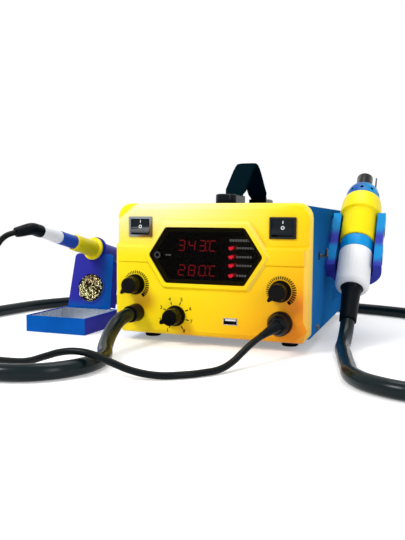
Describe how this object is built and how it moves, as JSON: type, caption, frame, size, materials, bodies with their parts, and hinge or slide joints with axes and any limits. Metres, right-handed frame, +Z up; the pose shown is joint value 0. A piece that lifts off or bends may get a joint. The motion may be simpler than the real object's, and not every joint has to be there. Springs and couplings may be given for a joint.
{
  "type": "hot air rework station",
  "caption": "Bench soldering unit with a case, strap handle, rocker switches and knobs, a hot air gun in a side holder on a hose, and a soldering iron on a cord in its own stand.",
  "frame": {"origin": "on the bench, under the middle of the front panel's lower field", "axes": "+X to the right seen from the front, +Y to the back, +Z up"},
  "size_m": [0.5866, 0.492, 0.1905],
  "materials": {
    "fascia_yellow": "satin moulded plastic",
    "case_blue": "satin powder coat",
    "black_sheet": "matt powder coat",
    "black_rubber": "matt",
    "dark_steel": "blackened",
    "dark_lens": "polished smoked lens",
    "bright_steel": "polished",
    "display_black": "matt",
    "lamp_red": "clear red",
    "board_green": "solder mask",
    "switch_black": "moulded",
    "rocker_black": "moulded",
    "knob_black": "polished",
    "pot_metal": "plated",
    "boot_black": "satin",
    "core_steel": "lacquered",
    "cast_grey": "cast",
    "strap_rubber": "grained",
    "cap_grey": "polished",
    "holder_blue": "moulded",
    "grip_white": "satin",
    "ring_blue": "moulded",
    "gun_yellow": "moulded",
    "ceramic": "matt",
    "hose_black": "satin",
    "stand_blue": "gloss paint",
    "tray_metal": "bright",
    "brass_wool": "shaved wire",
    "cord_black": "satin"
  },
  "bodies": {
    "station": {"front_panel": "fascia_yellow", "case_cover": "case_blue", "base_chassis": "black_sheet", "rear_panel": "black_sheet", "rubber_feet": "black_rubber", "cover_screws": "dark_steel", "display_window": "dark_lens", "calibration_jack": "bright_steel", "display_modules": "display_black", "pilot_lamps": "lamp_red", "display_board": "board_green", "switch_bezels": "switch_black", "potentiometers": "pot_metal", "usb_socket": "bright_steel", "hose_gland": "switch_black", "iron_socket": "switch_black", "iron_plug": "boot_black", "transformer": "core_steel", "air_pump": "cast_grey", "control_board": "board_green", "mains_inlet": "switch_black", "handle_strap": "strap_rubber", "front_handle_cap": "cap_grey", "rear_handle_cap": "cap_grey", "handle_screws": "bright_steel", "gun_holder": "holder_blue", "holder_screws": "dark_steel", "cord_hook": "bright_steel", "gun_grip": "grip_white", "gun_ring": "ring_blue", "gun_barrel": "gun_yellow", "vent_collar": "holder_blue", "nozzle_pipe": "bright_steel", "gun_heater": "ceramic", "collar_pin": "dark_steel", "gun_boot": "boot_black", "air_hose": "hose_black", "stand_base": "stand_blue", "stand_plate": "stand_blue", "solder_tray": "tray_metal", "wool_cup": "tray_metal", "wire_wool": "brass_wool", "iron_sleeve": "stand_blue", "iron_grip": "gun_yellow", "iron_body": "grip_white", "iron_band": "holder_blue", "iron_boot": "boot_black", "iron_barrel": "bright_steel", "iron_tip": "dark_steel", "iron_cord": "cord_black", "iron_cord_coil": "cord_black"},
    "left_switch": {"left_rocker": "rocker_black"},
    "right_switch": {"right_rocker": "rocker_black"},
    "hot_air_dial": {"hot_air_knob": "knob_black", "hot_air_shaft": "bright_steel"},
    "soldering_dial": {"soldering_knob": "knob_black", "soldering_shaft": "bright_steel"},
    "airflow_dial": {"airflow_knob": "knob_black", "airflow_shaft": "bright_steel"},
    "armature": {"pump_armature": "bright_steel"}
  },
  "joints": [
    {"name": "left_rocker_tilt", "type": "hinge", "parent": "station", "child": "left_switch", "pos_m": [-0.073, 0.0085, 0.1165], "axis": [1, 0, 0], "range_deg": [0, 20]},
    {"name": "right_rocker_tilt", "type": "hinge", "parent": "station", "child": "right_switch", "pos_m": [0.073, 0.0085, 0.1165], "axis": [1, 0, 0], "range_deg": [0, 20]},
    {"name": "hot_air_dial_turn", "type": "hinge", "parent": "station", "child": "hot_air_dial", "pos_m": [-0.076, 0, 0.0585], "axis": [0, 1, 0], "range_deg": [0, 270]},
    {"name": "soldering_dial_turn", "type": "hinge", "parent": "station", "child": "soldering_dial", "pos_m": [0.073, 0, 0.058], "axis": [0, 1, 0], "range_deg": [0, 270]},
    {"name": "airflow_dial_turn", "type": "hinge", "parent": "station", "child": "airflow_dial", "pos_m": [-0.032, 0, 0.029], "axis": [0, 1, 0], "range_deg": [0, 270]},
    {"name": "armature_rock", "type": "hinge", "parent": "station", "child": "armature", "pos_m": [0.058, 0.162, 0.04], "axis": [0, 0, 1], "range_deg": [-1.5, 1.5]}
  ]
}
